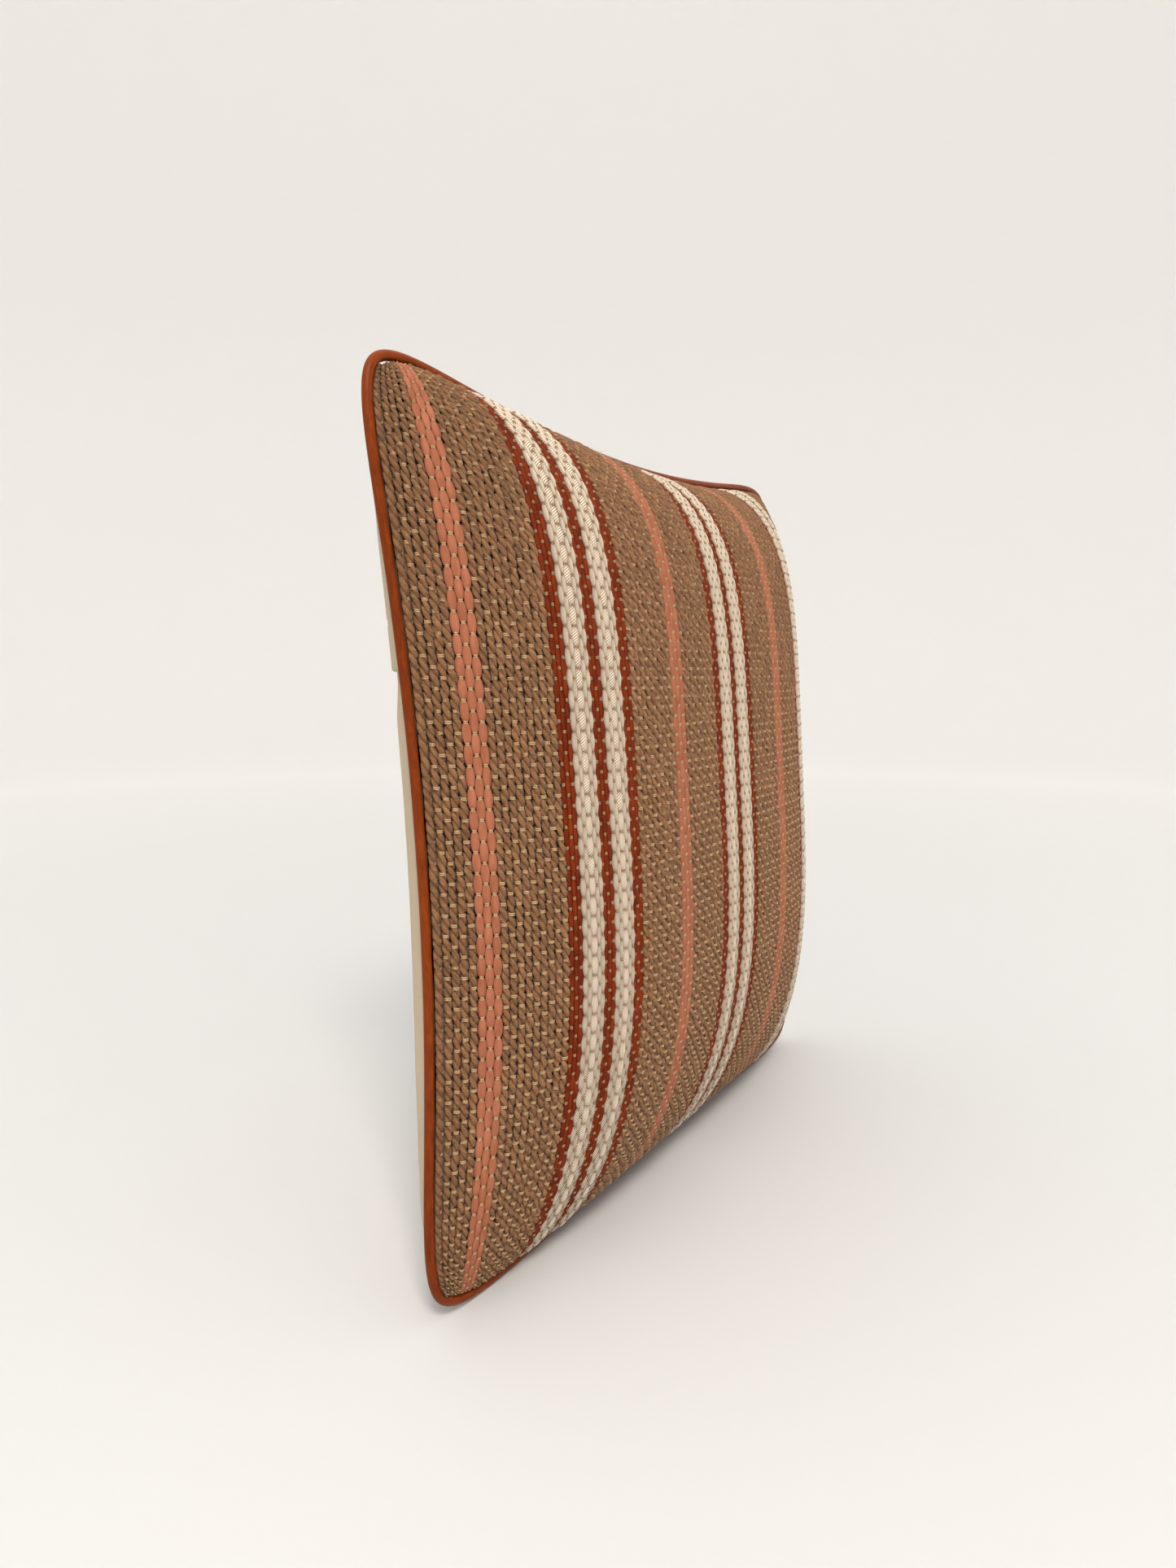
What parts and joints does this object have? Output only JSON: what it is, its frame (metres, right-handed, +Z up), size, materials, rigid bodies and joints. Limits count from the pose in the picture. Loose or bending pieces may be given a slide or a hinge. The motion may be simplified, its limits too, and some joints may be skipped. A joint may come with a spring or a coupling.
{
  "type": "throw pillow",
  "caption": "Square throw pillow standing on its bottom edge, woven striped jute, leather and cotton front, canvas back with a hidden zipper, leather welt round the seam.",
  "frame": {"origin": "on the floor under the middle of the pillow, the bottom centre of its bounding box", "axes": "+Z up, the striped front faces -Y, the width runs along X, and the top leans towards +Y"},
  "size_m": [0.4522, 0.1434, 0.4584],
  "materials": {
    "jute": "hairy two-ply jute yarn",
    "pink_leather": "matte suede-like leather tape",
    "rust_leather": "smooth leather tape with raw edges",
    "cotton": "plied unbleached cotton cord",
    "welt_leather": "smooth grained leather",
    "canvas": "plain-weave cotton canvas",
    "backing": "cotton lining",
    "welt_cord": "twisted cotton cord",
    "zipper_tape": "woven polyester tape",
    "zipper_coil": "moulded nylon coil",
    "zipper_metal": "antique brass plating",
    "insert_casing": "downproof cotton",
    "fill": "soft filling"
  },
  "bodies": {
    "pillow": {"back_panel_lower": "canvas", "back_panel_upper": "canvas", "fill_core": "fill", "front_backing": "backing", "insert_casing_back": "insert_casing", "insert_casing_front": "insert_casing", "jute_band_1": "jute", "jute_band_2": "jute", "jute_band_3": "jute", "jute_band_4": "jute", "jute_band_5": "jute", "jute_band_6": "jute", "jute_band_7": "jute", "jute_band_8": "jute", "leather_welt": "welt_leather", "pink_leather_stripe_1": "pink_leather", "pink_leather_stripe_2": "pink_leather", "pink_leather_stripe_3": "pink_leather", "pink_leather_stripe_4": "pink_leather", "rust_leather_stripe_1": "rust_leather", "rust_leather_stripe_2": "rust_leather", "rust_leather_stripe_3": "rust_leather", "rust_leather_stripe_4": "rust_leather", "rust_leather_stripe_5": "rust_leather", "rust_leather_stripe_6": "rust_leather", "rust_leather_stripe_7": "rust_leather", "rust_leather_stripe_8": "rust_leather", "rust_leather_stripe_9": "rust_leather", "welt_cord": "welt_cord", "white_cotton_stripe_1": "cotton", "white_cotton_stripe_2": "cotton", "white_cotton_stripe_3": "cotton", "white_cotton_stripe_4": "cotton", "white_cotton_stripe_5": "cotton", "white_cotton_stripe_6": "cotton", "zipper_bottom_stop": "zipper_metal", "zipper_coil_lower": "zipper_coil", "zipper_coil_upper": "zipper_coil", "zipper_tape_lower": "zipper_tape", "zipper_tape_upper": "zipper_tape", "zipper_top_stop": "zipper_metal"},
    "slider": {"zipper_slider": "zipper_metal"},
    "pull": {"zipper_pull_tab": "zipper_metal"}
  },
  "joints": [
    {"name": "zipper_slide", "type": "hinge", "parent": "pillow", "child": "slider", "pos_m": [0, -0.36832, 0.323], "axis": [0, 0, 1], "range_deg": [0, 40.5]},
    {"name": "pull_swing", "type": "hinge", "parent": "slider", "child": "pull", "pos_m": [0.15068, 0.03901, 0.323], "axis": [0, 0, -1], "range_deg": [0, 9]}
  ]
}
